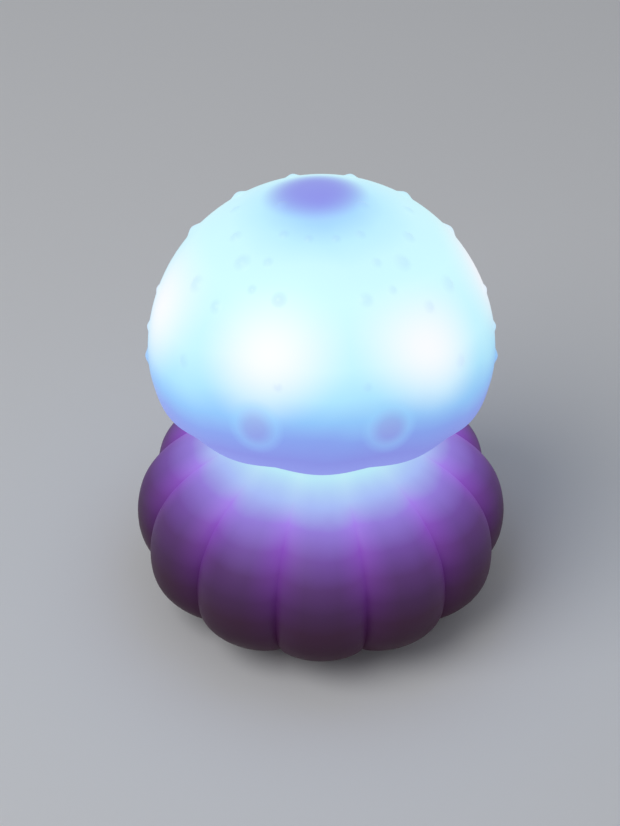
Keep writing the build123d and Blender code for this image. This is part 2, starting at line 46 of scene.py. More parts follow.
# ---------------------------------------------------------------- float
# The float is one hollow pumpkin of soft pink PVC, rotomoulded: twelve round lobes that meet in creases,
# a flat ring underneath and a short neck that carries the bell. Light from the bell soaks into it from
# above, so it runs from pale blue under the bell through violet to plum at the bottom.
MM = 0.001
LOBES = 12
NECK_TOP = 101.0
# height, crest radius, and crease depth as a share of that radius
FLOAT_RINGS = (
    (0.0, 45.2, 0.010),
    (1.6, 49.4, 0.020),
    (4.0, 54.4, 0.040),
    (8.5, 64.5, 0.065),
    (15.0, 73.3, 0.085),
    (24.0, 78.7, 0.095),
    (36.0, 80.0, 0.098),
    (48.0, 77.9, 0.098),
    (56.5, 73.4, 0.095),
    (64.0, 66.2, 0.085),
    (70.0, 57.6, 0.070),
    (75.0, 47.6, 0.050),
    (79.0, 39.4, 0.030),
    (84.0, 33.6, 0.012),
    (91.0, 30.8, 0.004),
    (100.2, 29.9, 0.004),
)
RING_STEPS = 5
FLOAT_SIDES = 288
CREASE_POWER = 0.56
FLOAT_WALL = 2.2
RING_ROUND_R = 44.0  # the creases stop short of this radius, on the ring underneath
NECK_FOOT_Z = 60.0  # and above this height they run on, however small the radius


def between_rings(rings, steps):
    """Points on a smooth curve through the rings, so many to each stretch."""
    ends = [rings[0], *rings, rings[-1]]
    points = []
    for a, b, c, d in zip(ends, ends[1:], ends[2:], ends[3:]):
        for step in range(steps):
            t = step / steps
            point = []
            for p, q, r, s in zip(a, b, c, d):
                square = 2 * p - 5 * q + 4 * r - s
                cube = 3 * q - p - 3 * r + s
                point.append(0.5 * (2 * q + (r - p) * t + square * t**2 + cube * t**3))
            points.append(tuple(point))
    return points + [rings[-1]]


def lathe(name, outline, sides, ends="open"):
    """Pulls a circle along the outline, heights and radii in mm, and leaves, caps or joins its ends."""
    height, radius = outline[0]
    bpy.ops.object.select_all(action="DESELECT")
    bpy.ops.mesh.primitive_circle_add(vertices=sides, radius=radius * MM, location=(0, 0, height * MM))
    turned = bpy.context.object
    bpy.ops.object.transform_apply(location=True)
    bpy.ops.object.mode_set(mode="EDIT")
    bpy.ops.mesh.select_mode(type="EDGE")
    bpy.ops.mesh.select_all(action="SELECT")
    for higher, wider in outline[1:]:
        step = (0, 0, (higher - height) * MM)
        bpy.ops.mesh.extrude_region_move(TRANSFORM_OT_translate={"value": step})
        grow = wider / radius
        bpy.ops.transform.resize(value=(grow, grow, 1), center_override=(0, 0, 0))
        height, radius = higher, wider
    bpy.ops.mesh.select_all(action="SELECT")
    if ends == "capped":
        bpy.ops.mesh.fill_holes(sides=0)
    if ends == "joined":
        bpy.ops.mesh.remove_doubles(threshold=0.000001)
    bpy.ops.mesh.select_all(action="SELECT")
    bpy.ops.mesh.normals_make_consistent(inside=False)
    bpy.ops.object.mode_set(mode="OBJECT")
    turned.name = turned.data.name = name
    return turned


def finish_mesh(piece, angle):
    """Shades a piece smooth but for its sharp edges."""
    bpy.ops.object.select_all(action="DESELECT")
    piece.select_set(True)
    bpy.context.view_layer.objects.active = piece
    bpy.ops.object.shade_smooth_by_angle(angle=radians(angle))


def apply_modifier(piece, kind, **settings):
    """Adds one modifier to a piece and applies it."""
    bpy.ops.object.select_all(action="DESELECT")
    piece.select_set(True)
    bpy.context.view_layer.objects.active = piece
    modifier = piece.modifiers.new(kind.title(), kind)
    for key, value in settings.items():
        setattr(modifier, key, value)
    bpy.ops.object.modifier_apply(modifier=modifier.name)


rings = between_rings(FLOAT_RINGS, RING_STEPS)
recess = [(4.1, 33.6), (4.1, 39.7), (3.7, 40.1), (2.0, 40.1), (0.5, 40.1), (0.1, 40.5), (0.0, 41.2)]
neck_lip = [(100.8, 29.5), (NECK_TOP, 28.8), (NECK_TOP, 25.0), (NECK_TOP - 0.2, 24.2)]
wall_line = [(z, r) for z, r, crease in rings]
float_body = lathe("float_body", recess + wall_line + neck_lip, FLOAT_SIDES)
for vertex in float_body.data.vertices:
    height = vertex.co.z / MM
    level = [ring for ring in rings if ring[0] <= height + 1e-4][-1]
    crease = level[2] if vertex.co.xy.length / MM > RING_ROUND_R or height > NECK_FOOT_Z else 0.0
    turn = atan2(vertex.co.x, -vertex.co.y)
    pinch = 1 - crease * (1 - abs(cos(LOBES / 2 * turn)) ** CREASE_POWER)
    vertex.co.x *= pinch
    vertex.co.y *= pinch
apply_modifier(float_body, "SOLIDIFY", thickness=FLOAT_WALL * MM, offset=-1)
finish_mesh(float_body, 60)


def linear(hex_colour):
    """An sRGB hex colour as linear red, green, blue and alpha."""
    channels = [int(hex_colour[i : i + 2], 16) / 255 for i in (1, 3, 5)]
    return [c / 12.92 if c <= 0.04045 else ((c + 0.055) / 1.055) ** 2.4 for c in channels] + [1.0]


def node(material, kind, inputs=None, stops=None, **settings):
    """Adds a node with its settings, its values or links, and the stops of its ramp."""
    made = material.node_tree.nodes.new("ShaderNode" + kind)
    for key, value in settings.items():
        setattr(made, key, value)
    for key, value in (inputs or {}).items():
        if isinstance(value, bpy.types.NodeSocket):
            material.node_tree.links.new(value, made.inputs[key])
        else:
            made.inputs[key].default_value = value
    if stops:
        ramp = made.color_ramp.elements
        while len(ramp) < len(stops):
            ramp.new(0.5)
        for element, (place, colour) in zip(ramp, stops):
            element.position = place
            element.color = linear(colour) if isinstance(colour, str) else [colour] * 3 + [1.0]
    return made


def new_material(name, **sockets):
    """A material with one Principled shader. Returns it, its shader and the piece's own coordinates."""
    material = bpy.data.materials.new(name)
    material.use_nodes = True
    shader = material.node_tree.nodes["Principled BSDF"]
    for key, value in sockets.items():
        shader.inputs[key.replace("_", " ")].default_value = value
    place = node(material, "TexCoord").outputs["Object"]
    return material, shader, place


def plug(material, socket, value):
    """Links a value into a shader's socket."""
    material.node_tree.links.new(value, socket)


def dress(piece, material):
    """Gives a piece its one material."""
    piece.data.materials.clear()
    piece.data.materials.append(material)


# Soft PVC, rotomoulded: pink, cloudy, with the faint orange peel that the mould leaves. The peel is drawn
# coarse enough to show.
CLOUD_MM = 22.22
PEEL_MM = 1.613
NOISE_LOW = 0.3  # a noise keeps mostly between these two
NOISE_HIGH = 0.7
GLOW = 0.92  # how strongly the lit plastic shines
CREST_EDGE = 0.85  # where a crease's painted glow and own colour have turned fully into the lobe's
float_pvc, shader, place = new_material(
    "rotomoulded_pink_pvc", Roughness=0.5, IOR=1.53, Specular_IOR_Level=0.18
)
axes = node(float_pvc, "SeparateXYZ", {0: place})
back = node(float_pvc, "Math", {0: axes.outputs["Y"], 1: -1.0}, operation="MULTIPLY")
turn = node(float_pvc, "Math", {0: axes.outputs["X"], 1: back.outputs[0]}, operation="ARCTAN2")
six = node(float_pvc, "Math", {0: turn.outputs[0], 1: LOBES / 2}, operation="MULTIPLY")
wave = node(float_pvc, "Math", {0: six.outputs[0]}, operation="COSINE")
crest = node(float_pvc, "Math", {0: wave.outputs[0]}, operation="ABSOLUTE")
crest_share = node(
    float_pvc, "MapRange", {"Value": crest.outputs[0], 1: 0.0, 2: CREST_EDGE, 3: 0.0, 4: 1.0}
)
cloud = node(
    float_pvc, "TexNoise", {"Vector": place, "Scale": 1 / (CLOUD_MM * MM), "Detail": 3.0, "Roughness": 0.5}
)
drift = node(
    float_pvc,
    "MapRange",
    {"Value": cloud.outputs[0], 1: NOISE_LOW, 2: NOISE_HIGH, 3: -0.5 * MM, 4: 0.5 * MM},
)
lifted = node(float_pvc, "Math", {0: axes.outputs["Z"], 1: drift.outputs[0]}, operation="ADD")
# The bell's light is painted into the float's glow: pale blue at the neck to plum at the foot, brighter and
# more violet in the creases.
climb = node(float_pvc, "MapRange", {"Value": lifted.outputs[0], 1: 0.0, 2: 100 * MM, 3: 0.0, 4: 1.0})
on_crest = node(
    float_pvc,
    "ValToRGB",
    {"Fac": climb.outputs[0]},
    [
        (0.02, "#0E050C"),
        (0.16, "#150812"),
        (0.26, "#1E0D1E"),
        (0.36, "#2A162D"),
        (0.46, "#39234A"),
        (0.56, "#51346E"),
        (0.64, "#704EA4"),
        (0.71, "#927CDC"),
        (0.76, "#A9C0FC"),
        (0.82, "#BEF0FF"),
        (1.0, "#CFFBFF"),
    ],
)
in_crease = node(
    float_pvc,
    "ValToRGB",
    {"Fac": climb.outputs[0]},
    [
        (0.02, "#150710"),
        (0.16, "#1D0B1A"),
        (0.26, "#27102A"),
        (0.36, "#341840"),
        (0.46, "#4A2364"),
        (0.56, "#6A3A92"),
        (0.64, "#8852C2"),
        (0.71, "#A583F0"),
        (0.76, "#B0CCFD"),
        (0.82, "#C4F4FF"),
        (1.0, "#CFFBFF"),
    ],
)
glow = node(
    float_pvc,
    "Mix",
    {0: crest_share.outputs[0], 6: in_crease.outputs[0], 7: on_crest.outputs[0]},
    data_type="RGBA",
)
plug(float_pvc, shader.inputs["Emission Color"], glow.outputs[2])
shader.inputs["Emission Strength"].default_value = GLOW
# The pink plastic's own colour, painted near black plum as shade, so the studio lamp leaves the painted
# glow to show.
pink = node(
    float_pvc,
    "Mix",
    {0: crest_share.outputs[0], 6: linear("#2C1022"), 7: linear("#2E1423")},
    data_type="RGBA",
)
plug(float_pvc, shader.inputs["Base Color"], pink.outputs[2])
peel = node(
    float_pvc, "TexNoise", {"Vector": place, "Scale": 1 / (PEEL_MM * MM), "Detail": 2.0, "Roughness": 0.5}
)
patchy = node(
    float_pvc, "MapRange", {"Value": cloud.outputs[0], 1: NOISE_LOW, 2: NOISE_HIGH, 3: 0.45, 4: 0.56}
)
plug(float_pvc, shader.inputs["Roughness"], patchy.outputs[0])
skin = node(float_pvc, "Bump", {"Height": peel.outputs[0], "Strength": 0.12, "Distance": 0.0001})
plug(float_pvc, shader.inputs["Normal"], skin.outputs[0])
dress(float_body, float_pvc)
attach(float_body, "light")
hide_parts("float_shell")

# ---------------------------------------------------------------- bell
# The bell is a rotomoulded ball of cloudy soft PVC, cut off just below its widest circle. Its rim hangs
# in twelve shallow scallops, small blisters are scattered over it in mirrored pairs, and two round
# bosses stand in shallow moats low on the front. It is glued to its floor all round, inside the rim.
BELL_Z = 123.5
BELL_R = 71.1
BELL_RISE = 70.2
BELL_WALL = 2.4
RIM_Z = 116.0
RIM_TRIM = 0.4  # how far above the rim the ball is cut, and then pulled down to it
RIM_WAVE = 0.95  # the scallops hang down, one over each lobe, and hardly stand out
RIM_DIP = 1.45
RIM_TUCK = 0.7
RIM_ROUND = 0.5
SCALLOP_HEIGHT = 8.0
SCALLOP_POWER = 1.3
BELL_SIDES = 144
BELL_RINGS = 96
EYE_AZIMUTH = 21.5
EYE_LATITUDE = 8.2
EYE_RISE = 0.3  # the disc's height, and the moat's depth
EYE_DISC_R = 7.5
MOAT_R = 8.3
MOAT_HALF = 2.8
EYE_REACH = 12.5  # how far round an eye the faces are made finer
# azimuth from the front and latitude in degrees, and radius in mm; each has its mirror image
BLISTERS = (
    (91, 77, 2.6),
    (40, 71, 2.0),
    (14, 72, 1.8),
    (72, 60, 2.6),
    (36, 60, 2.0),
    (51, 56, 3.4),
    (21, 49.5, 2.7),
    (36, 50, 1.8),
    (66, 41, 3.4),
    (49, 40, 2.5),
    (53, 19, 2.6),
    (15, 23, 1.8),
    (93, 22, 2.4),
    (88, 10, 2.2),
    (85, 0, 2.8),
    (116, 35, 3.4),
    (132, 50, 3.2),
    (162, 57, 2.6),
    (104, 60, 2.2),
    (122, 13, 2.6),
    (142, 25, 3.3),
    (158, 8, 2.3),
    (168, 34, 3.2),
    (150, 41, 2.0),
)
BLISTER_RISE = 0.4
BLISTER_SKIRT = 1.3  # how far its foot spreads, as a share of its radius
BLISTER_ROUND = 0.85  # under 1, a blister's top is fuller than a cosine
BLISTER_MARGIN = 1.6
bell_middle = Vector((0, 0, BELL_Z * MM))


def outward(azimuth, latitude):
    """The direction of a spot on the bell from its middle."""
    level = cos(radians(latitude))
    turn = radians(azimuth)
    return Vector((level * sin(turn), -level * cos(turn), sin(radians(latitude))))


def on_bell(direction):
    """Where a direction from the bell's middle meets its skin."""
    flat = hypot(direction.x, direction.y) / BELL_R
    return bell_middle + direction * (MM / hypot(flat, direction.z / BELL_RISE))


bpy.ops.object.select_all(action="DESELECT")
bpy.ops.mesh.primitive_uv_sphere_add(
    segments=BELL_SIDES, ring_count=BELL_RINGS, radius=BELL_R * MM, location=bell_middle
)
bell = bpy.context.object
bell.name = bell.data.name = "bell"
bpy.ops.object.transform_apply(location=True)
bpy.ops.object.mode_set(mode="EDIT")
bpy.ops.mesh.select_all(action="SELECT")
bpy.ops.mesh.bisect(
    plane_co=(0, 0, (RIM_Z + RIM_TRIM) * MM),
    plane_no=(0, 0, 1),
    clear_inner=True,
    clear_outer=False,
    use_fill=False,
)
bpy.ops.object.mode_set(mode="OBJECT")


def refine(directions, reach, cuts):
    """Divides the faces near the given directions, so that small shapes can be raised there."""
    bpy.ops.object.mode_set(mode="EDIT")
    bpy.ops.mesh.select_all(action="DESELECT")
    bpy.ops.object.mode_set(mode="OBJECT")
    for face in bell.data.polygons:
        out = (face.center - bell_middle).normalized()
        face.select = any((out - way).length * BELL_R < span for way, span in zip(directions, reach))
    bpy.ops.object.mode_set(mode="EDIT")
    bpy.ops.mesh.select_mode(type="FACE")
    bpy.ops.mesh.subdivide(number_cuts=cuts)
    bpy.ops.object.mode_set(mode="OBJECT")


blister_ways = [(outward(side * a, lat), r) for a, lat, r in BLISTERS for side in (-1, 1)]
eye_ways = [outward(side * EYE_AZIMUTH, EYE_LATITUDE) for side in (-1, 1)]
blister_reach = [radius * BLISTER_SKIRT + BLISTER_MARGIN for way, radius in blister_ways]
refine([way for way, radius in blister_ways], blister_reach, 3)
refine(eye_ways, [EYE_REACH] * 2, 2)


def eye_relief(span):
    """Height of the eye's relief in mm at a distance from its middle: a low disc in a soft moat."""
    off_moat = abs(span - MOAT_R)
    disc = 0.5 + 0.5 * cos(pi * span / EYE_DISC_R) if span < EYE_DISC_R else 0.0
    moat = 0.5 + 0.5 * cos(pi * off_moat / MOAT_HALF) if off_moat < MOAT_HALF else 0.0
    return EYE_RISE * (disc - moat)


blister_share = bell.data.attributes.new("blister", "FLOAT", "POINT")
for vertex in bell.data.vertices:
    out = (vertex.co - bell_middle).normalized()
    lift = 0.0
    for way, radius in blister_ways:
        span = (out - way).length * BELL_R / (radius * BLISTER_SKIRT)
        if span < 1:
            lift += radius * BLISTER_RISE * (0.5 + 0.5 * cos(pi * span)) ** BLISTER_ROUND
            blister_share.data[vertex.index].value = min(1.0, 1.6 * (1 - span))
    for way in eye_ways:
        lift += eye_relief((out - way).length * BELL_R)
    spot = on_bell(out) + out * lift * MM
    if vertex.co.z < (RIM_Z + RIM_TRIM + 0.1) * MM:
        spot.z = RIM_Z * MM
    near_rim = max(0.0, 1 - (spot.z / MM - RIM_Z) / SCALLOP_HEIGHT) ** 2
    scallop = 2 * abs(cos(LOBES / 2 * atan2(spot.x, -spot.y))) ** SCALLOP_POWER - 1
    tuck = 1 - near_rim * RIM_TUCK / BELL_R
    vertex.co = (spot.x * tuck, spot.y * tuck, spot.z - near_rim * (RIM_DIP + RIM_WAVE * scallop) * MM)
apply_modifier(bell, "SOLIDIFY", thickness=BELL_WALL * MM, offset=-1)


def soften(piece, width):
    """Rounds a piece's sharp edges by a width in mm."""
    apply_modifier(
        piece, "BEVEL", width=width * MM, segments=2, limit_method="ANGLE", angle_limit=radians(50)
    )


soften(bell, RIM_ROUND)
finish_mesh(bell, 55)

# Cloudy soft PVC lit from inside. Six LEDs burn white spots through it, the light thins to lavender
# towards the rim, and the crown's cap leaves a violet shadow at the top.
LED_AZIMUTH = -19.5
LED_LOW = 24.0  # where the spots burn through, at the sides and at the front
LED_HIGH = 36.0
LED_STEP = 60.0
SPOT_REACH = 28.0
HAZE_DROP = 0.2  # how much lower the haze's colours sit at the sides, in radians
HAZE_FOOT = -10.0  # latitudes that the haze's colours run between
HAZE_TOP = 90.0
SHADOW_EDGE = 19.0
SHADOW_CORE = 2.0
SHADOW_DEPTH = 0.92
# how far round an eye its painted light and shade reach
EYE_PAINTED_LIGHT_R = 12.0
BLISTER_DIM = 0.16
BELL_CLOUD_MM = 35.71
# The bell's milky plastic is painted a dark blue-grey, as shade, so the studio lamp leaves the painted glow
# to show.
bell_pvc, shader, place = new_material(
    "rotomoulded_cloudy_pvc", Roughness=0.4, IOR=1.53, Specular_IOR_Level=0.3, Base_Color=linear("#5A5F86")
)
shader.inputs["Sheen Weight"].default_value = 0.35
shader.inputs["Sheen Roughness"].default_value = 0.4
shader.inputs["Sheen Tint"].default_value = linear("#D8E4FF")
from_middle = node(bell_pvc, "VectorMath", {0: place, 1: bell_middle}, operation="SUBTRACT")
out = node(bell_pvc, "VectorMath", {0: from_middle.outputs[0]}, operation="NORMALIZE")
axes = node(bell_pvc, "SeparateXYZ", {0: out.outputs[0]})
climb = node(bell_pvc, "Math", {0: axes.outputs["Z"]}, operation="ARCSINE")
cloud = node(
    bell_pvc,
    "TexNoise",
    {"Vector": place, "Scale": 1 / (BELL_CLOUD_MM * MM), "Detail": 2.0, "Roughness": 0.5},
)
drift = node(
    bell_pvc, "MapRange", {"Value": cloud.outputs[0], 1: NOISE_LOW, 2: NOISE_HIGH, 3: -0.03, 4: 0.03}
)
sideways = node(bell_pvc, "Math", {0: axes.outputs["X"], 1: axes.outputs["X"]}, operation="MULTIPLY")
sides_up = node(
    bell_pvc,
    "Math",
    {0: sideways.outputs[0], 1: HAZE_DROP, 2: drift.outputs[0]},
    operation="MULTIPLY_ADD",
)
uneven = node(bell_pvc, "Math", {0: climb.outputs[0], 1: sides_up.outputs[0]}, operation="ADD")
height = node(
    bell_pvc,
    "MapRange",
    {"Value": uneven.outputs[0], 1: radians(HAZE_FOOT), 2: radians(HAZE_TOP), 3: 0.0, 4: 1.0},
)
haze = node(
    bell_pvc,
    "ValToRGB",
    {"Fac": height.outputs[0]},
    [
        (0.02, "#8C96E6"),
        (0.08, "#8089DD"),
        (0.15, "#7E9CE6"),
        (0.22, "#89C4F4"),
        (0.30, "#AAE6FB"),
        (0.40, "#C6F8FF"),
        (0.50, "#CEFCFF"),
        (0.60, "#D2FFFF"),
        (0.72, "#CDFBFE"),
        (0.81, "#BDF1FD"),
        (0.89, "#A6DCFD"),
        (1.0, "#93B4F8"),
    ],
)
back = node(bell_pvc, "Math", {0: axes.outputs["Y"], 1: -1.0}, operation="MULTIPLY")
turn = node(bell_pvc, "Math", {0: axes.outputs["X"], 1: back.outputs[0]}, operation="ARCTAN2")
from_led = node(bell_pvc, "Math", {0: turn.outputs[0], 1: radians(LED_AZIMUTH)}, operation="SUBTRACT")
nearest = node(
    bell_pvc,
    "Math",
    {0: from_led.outputs[0], 1: radians(LED_STEP / 2), 2: radians(-LED_STEP / 2)},
    operation="WRAP",
)
square = node(bell_pvc, "Math", {0: axes.outputs["Z"], 1: axes.outputs["Z"]}, operation="MULTIPLY")
rest = node(bell_pvc, "Math", {0: 1.0, 1: square.outputs[0]}, operation="SUBTRACT")
level = node(bell_pvc, "Math", {0: rest.outputs[0]}, operation="SQRT")
beside = node(bell_pvc, "Math", {0: nearest.outputs[0], 1: level.outputs[0]}, operation="MULTIPLY")
fore = node(bell_pvc, "Math", {0: axes.outputs["Y"], 1: axes.outputs["Y"]}, operation="MULTIPLY")
aim = node(
    bell_pvc,
    "MapRange",
    {"Value": fore.outputs[0], 1: 0.0, 2: 1.0, 3: radians(LED_LOW), 4: radians(LED_HIGH)},
)
above = node(bell_pvc, "Math", {0: climb.outputs[0], 1: aim.outputs[0]}, operation="SUBTRACT")
apart = node(bell_pvc, "CombineXYZ", {0: beside.outputs[0], 1: above.outputs[0]})
spread = node(bell_pvc, "VectorMath", {0: apart.outputs[0]}, operation="LENGTH")
spot = node(
    bell_pvc,
    "MapRange",
    {"Value": spread.outputs["Value"], 1: radians(SPOT_REACH), 2: 0.0, 3: 0.0, 4: 1.0},
    interpolation_type="SMOOTHSTEP",
)
lit = node(
    bell_pvc, "Mix", {0: spot.outputs[0], 6: haze.outputs[0], 7: linear("#FDFFFF")}, data_type="RGBA"
)
shadow_way = Vector((-0.04, 0.15, 1)).normalized()
over = node(bell_pvc, "VectorMath", {0: out.outputs[0], 1: shadow_way}, operation="DOT_PRODUCT")
shade = node(
    bell_pvc,
    "MapRange",
    {
        "Value": over.outputs["Value"],
        1: cos(radians(SHADOW_EDGE)),
        2: cos(radians(SHADOW_CORE)),
        3: 0.0,
        4: SHADOW_DEPTH,
    },
    interpolation_type="SMOOTHSTEP",
)
capped = node(
    bell_pvc, "Mix", {0: shade.outputs[0], 6: lit.outputs[2], 7: linear("#8584E0")}, data_type="RGBA"
)
# The eyes' light and shade are painted: a thin bright ring over the moat, round a dimmer, redder disc over
# the thicker boss.
side = node(bell_pvc, "Math", {0: axes.outputs["X"]}, operation="ABSOLUTE")
folded = node(bell_pvc, "CombineXYZ", {0: side.outputs[0], 1: axes.outputs["Y"], 2: axes.outputs["Z"]})
eye_way = outward(EYE_AZIMUTH, EYE_LATITUDE)
from_eye = node(bell_pvc, "VectorMath", {0: folded.outputs[0], 1: eye_way}, operation="DISTANCE")
span = node(
    bell_pvc,
    "MapRange",
    {"Value": from_eye.outputs["Value"], 1: 0.0, 2: EYE_PAINTED_LIGHT_R / BELL_R, 3: 0.0, 4: 1.0},
)
disc = node(
    bell_pvc,
    "ValToRGB",
    {"Fac": span.outputs[0]},
    [(0.0, 0.5), (0.3, 0.42), (0.5, 0.22), (0.72, 0.0)],
)
moat = node(
    bell_pvc,
    "ValToRGB",
    {"Fac": span.outputs[0]},
    [(0.32, 0.0), (0.56, 0.26), (0.7, 0.32), (0.85, 0.16), (1.0, 0.0)],
)
ringed = node(
    bell_pvc, "Mix", {0: moat.outputs[0], 6: capped.outputs[2], 7: linear("#98D6FC")}, data_type="RGBA"
)
eyed = node(
    bell_pvc, "Mix", {0: disc.outputs[0], 6: ringed.outputs[2], 7: linear("#938FD2")}, data_type="RGBA"
)
# A blister is thicker than the wall round it, so it shines a little less.
blister = node(bell_pvc, "Attribute", attribute_name="blister")
dimmer = node(bell_pvc, "Math", {0: blister.outputs["Fac"], 1: BLISTER_DIM}, operation="MULTIPLY")
blistered = node(
    bell_pvc, "Mix", {0: dimmer.outputs[0], 6: eyed.outputs[2], 7: linear("#9FBCF0")}, data_type="RGBA"
)
plug(bell_pvc, shader.inputs["Emission Color"], blistered.outputs[2])
shader.inputs["Emission Strength"].default_value = GLOW
peel = node(
    bell_pvc, "TexNoise", {"Vector": place, "Scale": 1 / (PEEL_MM * MM), "Detail": 2.0, "Roughness": 0.5}
)
skin = node(bell_pvc, "Bump", {"Height": peel.outputs[0], "Strength": 0.1, "Distance": 0.0001})
plug(bell_pvc, shader.inputs["Normal"], skin.outputs[0])
patchy = node(
    bell_pvc, "MapRange", {"Value": cloud.outputs[0], 1: NOISE_LOW, 2: NOISE_HIGH, 3: 0.36, 4: 0.46}
)
plug(bell_pvc, shader.inputs["Roughness"], patchy.outputs[0])
dress(bell, bell_pvc)
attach(bell, "light")
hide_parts("bell_skin")

# ---------------------------------------------------------------- bell floor
# The floor is a funnel of the same cloudy PVC, injection moulded, that closes the bell and throws its
# light down onto the float. Its rim is glued into the bell's wall all round, and its spigot goes through
# the neck to the nut.
FLOOR_SIDES = 144
FLOOR_ROUND = 0.3
FLOOR_GRAIN_MM = 2.0
# height and radius, up the outside of the spigot, out to the rim and back in
FLOOR_OUTLINE = (
    (88.0, 21.2),
    (88.0, 23.8),
    (102.2, 23.8),
    (102.2, 30.4),
    (102.6, 31.6),
    (116.6, 64.8),
    (117.3, 66.6),
    (117.7, 69.2),
    (119.0, 69.2),
    (119.3, 66.4),
    (118.6, 64.6),
    (104.9, 31.9),
    (104.4, 30.4),
    (104.4, 21.2),
    (88.0, 21.2),
)
bell_floor = lathe("bell_floor_funnel", FLOOR_OUTLINE, FLOOR_SIDES, "joined")
soften(bell_floor, FLOOR_ROUND)
finish_mesh(bell_floor, 30)

# Moulded cloudy PVC: its fine grain spreads the light, bright at the middle and lavender at the rim
floor_pvc, shader, place = new_material("moulded_cloudy_pvc", Roughness=0.45, IOR=1.53)
axes = node(floor_pvc, "SeparateXYZ", {0: place})
flat = node(floor_pvc, "CombineXYZ", {0: axes.outputs["X"], 1: axes.outputs["Y"], 2: 0.0})
reach = node(floor_pvc, "VectorMath", {0: flat.outputs[0]}, operation="LENGTH")
share = node(
    floor_pvc, "MapRange", {"Value": reach.outputs["Value"], 1: 20 * MM, 2: 70 * MM, 3: 0.0, 4: 1.0}
)
under = node(
    floor_pvc,
    "ValToRGB",
    {"Fac": share.outputs[0]},
    [(0.0, "#D8FFFF"), (0.4, "#C4F4FF"), (0.75, "#A4C8FA"), (1.0, "#8E98E4")],
)
grain = node(floor_pvc, "TexNoise", {"Vector": place, "Scale": 1 / (FLOOR_GRAIN_MM * MM), "Detail": 2.0})
tinted = node(
    floor_pvc, "Mix", {0: grain.outputs[0], 6: linear("#6A7096"), 7: linear("#7A80A4")}, data_type="RGBA"
)
plug(floor_pvc, shader.inputs["Base Color"], tinted.outputs[2])
plug(floor_pvc, shader.inputs["Emission Color"], under.outputs[0])
shader.inputs["Emission Strength"].default_value = 1.0
skin = node(floor_pvc, "Bump", {"Height": grain.outputs[0], "Strength": 0.1, "Distance": 0.0001})
plug(floor_pvc, shader.inputs["Normal"], skin.outputs[0])
dress(bell_floor, floor_pvc)
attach(bell_floor, "light")
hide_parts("bell_floor")

# ---------------------------------------------------------------- battery door
# The door is a round lid of grey ABS, injection moulded, with a groove round its face and a slot for a
# coin. It turns with its plug and two lugs, which hold it up behind the ledges of the battery well.
DOOR_SIDES = 128
DOOR_FACE = 0.8
DOOR_ROUND = 0.12
# height and radius, from the groove in the face out to the edge and up the plug
DOOR_OUTLINE = (
    (DOOR_FACE, 13.9),
    (1.05, 14.1),
    (1.05, 14.6),
    (DOOR_FACE, 14.8),
    (DOOR_FACE, 16.3),
    (0.95, 16.8),
    (1.25, 17.0),
    (2.2, 17.0),
    (2.2, 12.9),
    (7.2, 12.9),
    (7.5, 12.6),
)
SLOT_LENGTH = 22.0
SLOT_WIDTH = 2.2
SLOT_DEPTH = 2.0
LUG_SIZE = (2.2, 6.2, 1.6)
LUG_OUT = 13.0
LUG_Z = 6.0
door = lathe("battery_lid", DOOR_OUTLINE, DOOR_SIDES, "capped")
bpy.ops.object.select_all(action="DESELECT")
bpy.ops.mesh.primitive_circle_add(
    vertices=48,
    radius=SLOT_WIDTH / 2 * MM,
    fill_type="NGON",
    location=(0, 0, (DOOR_FACE - SLOT_DEPTH) * MM),
)
cutter = bpy.context.object
bpy.ops.object.transform_apply(location=True)
for vertex in cutter.data.vertices:
    vertex.co.x += (SLOT_LENGTH - SLOT_WIDTH) / 2 * MM * (1 if vertex.co.x > 0 else -1)
bpy.ops.object.mode_set(mode="EDIT")
bpy.ops.mesh.select_all(action="SELECT")
bpy.ops.mesh.extrude_region_move(TRANSFORM_OT_translate={"value": (0, 0, 2 * SLOT_DEPTH * MM)})
bpy.ops.mesh.select_all(action="SELECT")
bpy.ops.mesh.normals_make_consistent(inside=False)
bpy.ops.object.mode_set(mode="OBJECT")
apply_modifier(door, "BOOLEAN", operation="DIFFERENCE", solver="EXACT", object=cutter)
bpy.data.objects.remove(cutter)
for side in (-1, 1):
    bpy.ops.object.select_all(action="DESELECT")
    bpy.ops.mesh.primitive_cube_add(size=1, location=(side * LUG_OUT * MM, 0, LUG_Z * MM))
    lug = bpy.context.object
    lug.scale = [edge * MM for edge in LUG_SIZE]
    bpy.ops.object.transform_apply(location=True, scale=True)
    door.select_set(True)
    bpy.context.view_layer.objects.active = door
    bpy.ops.object.join()
soften(door, DOOR_ROUND)
finish_mesh(door, 30)


def moulded(name, low, high, roughness, grain_mm, depth_mm):
    """Moulded plastic or rubber: two close shades in a fine even grain."""
    material, shader, place = new_material(name, IOR=1.5)
    grain = node(material, "TexNoise", {"Vector": place, "Scale": 1 / (grain_mm * MM), "Detail": 3.0})
    shades = node(
        material, "Mix", {0: grain.outputs[0], 6: linear(low), 7: linear(high)}, data_type="RGBA"
    )
    plug(material, shader.inputs["Base Color"], shades.outputs[2])
    rough = node(
        material,
        "MapRange",
        {
            "Value": grain.outputs[0],
            1: NOISE_LOW,
            2: NOISE_HIGH,
            3: roughness - 0.06,
            4: roughness + 0.06,
        },
    )
    plug(material, shader.inputs["Roughness"], rough.outputs[0])
    skin = node(material, "Bump", {"Height": grain.outputs[0], "Strength": 0.35, "Distance": depth_mm * MM})
    plug(material, shader.inputs["Normal"], skin.outputs[0])
    return material


# Injection-moulded ABS: the spark-eroded mould leaves a fine, even, dull grain
grey_abs = moulded("moulded_grey_abs", "#6B6D70", "#787A7D", 0.48, 0.9, 0.05)
dress(door, grey_abs)
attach(door, "door")
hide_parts("battery_door")

# ---------------------------------------------------------------- push button
# The button is one soft-touch TPE moulding with a dished face for a fingertip, a groove for its sealing
# ring, a collar that stops it falling out, and a stem that presses the switch.
BUTTON_SIDES = 96
BUTTON_Y = 24.0
BUTTON_ROUND = 0.12
